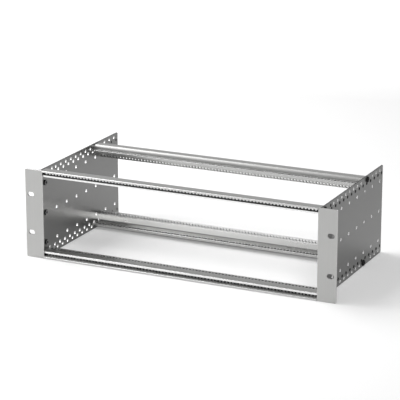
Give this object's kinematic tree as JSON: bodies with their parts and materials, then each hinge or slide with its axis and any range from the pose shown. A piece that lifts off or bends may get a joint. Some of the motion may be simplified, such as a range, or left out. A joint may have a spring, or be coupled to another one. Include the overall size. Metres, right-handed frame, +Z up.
{
  "type": "19 inch rack card frame",
  "caption": "Open card frame for a 19 inch rack: perforated side panels, slotted ears and grooved front and rear rails.",
  "frame": {"origin": "on the surface it stands on, below the middle of the frame's box", "axes": "+X along the rails to the right ear, +Y from front to back, +Z up"},
  "size_m": [0.4826, 0.2384, 0.1326],
  "materials": {
    "panel_sheet": "satin sheet, passivated grey",
    "ear_extrusion": "fine brushed and clear anodised",
    "rail_extrusion": "clear anodised extrusion",
    "strip_steel": "dull zinc plated",
    "black_steel": "black passivated steel"
  },
  "bodies": {
    "root": {"side_panel_left": "panel_sheet", "side_panel_right": "panel_sheet", "rack_ear_left": "ear_extrusion", "rack_ear_right": "ear_extrusion", "ear_nuts_left": "black_steel", "ear_nuts_right": "black_steel", "ear_screws_left": "black_steel", "ear_screws_right": "black_steel", "front_rail_screws_left": "black_steel", "front_rail_screws_right": "black_steel", "rear_rail_screws_left": "black_steel", "rear_rail_screws_right": "black_steel", "front_rail_bottom": "rail_extrusion", "front_rail_top": "rail_extrusion", "rear_rail_bottom": "rail_extrusion", "rear_rail_top": "rail_extrusion", "threaded_strip_bottom": "strip_steel", "threaded_strip_top": "strip_steel"}
  },
  "joints": []
}
